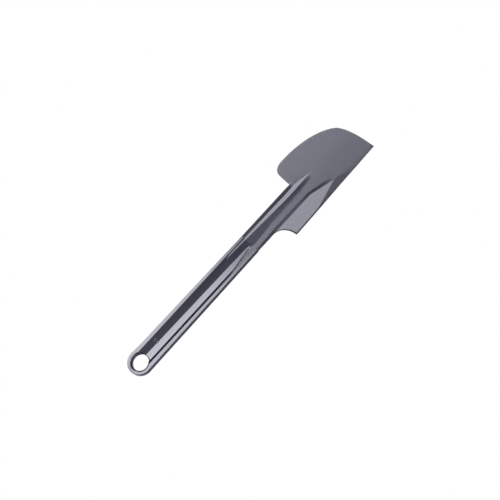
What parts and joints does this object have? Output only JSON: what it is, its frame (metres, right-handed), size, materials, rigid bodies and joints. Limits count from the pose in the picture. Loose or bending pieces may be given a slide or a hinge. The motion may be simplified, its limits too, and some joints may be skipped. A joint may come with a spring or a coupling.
{
  "type": "ink knife",
  "caption": "Plastic ink knife for scooping, mixing and spreading printing ink: a fluted handle with a hanging hole, and a flexible blade with a straight edge and a rounded lobe.",
  "frame": {"origin": "middle of the knife's box, on the plane that its back rests on", "axes": "+X along the knife from the hanging hole to the tip, +Y towards the rounded lobe, +Z out of the front face"},
  "size_m": [0.34, 0.0686, 0.0052],
  "materials": {
    "handle": "polished dark grey injection moulding",
    "blade": "satin dark grey flexible moulding"
  },
  "bodies": {
    "root": {"handle": "handle", "blade": "blade"}
  },
  "joints": []
}
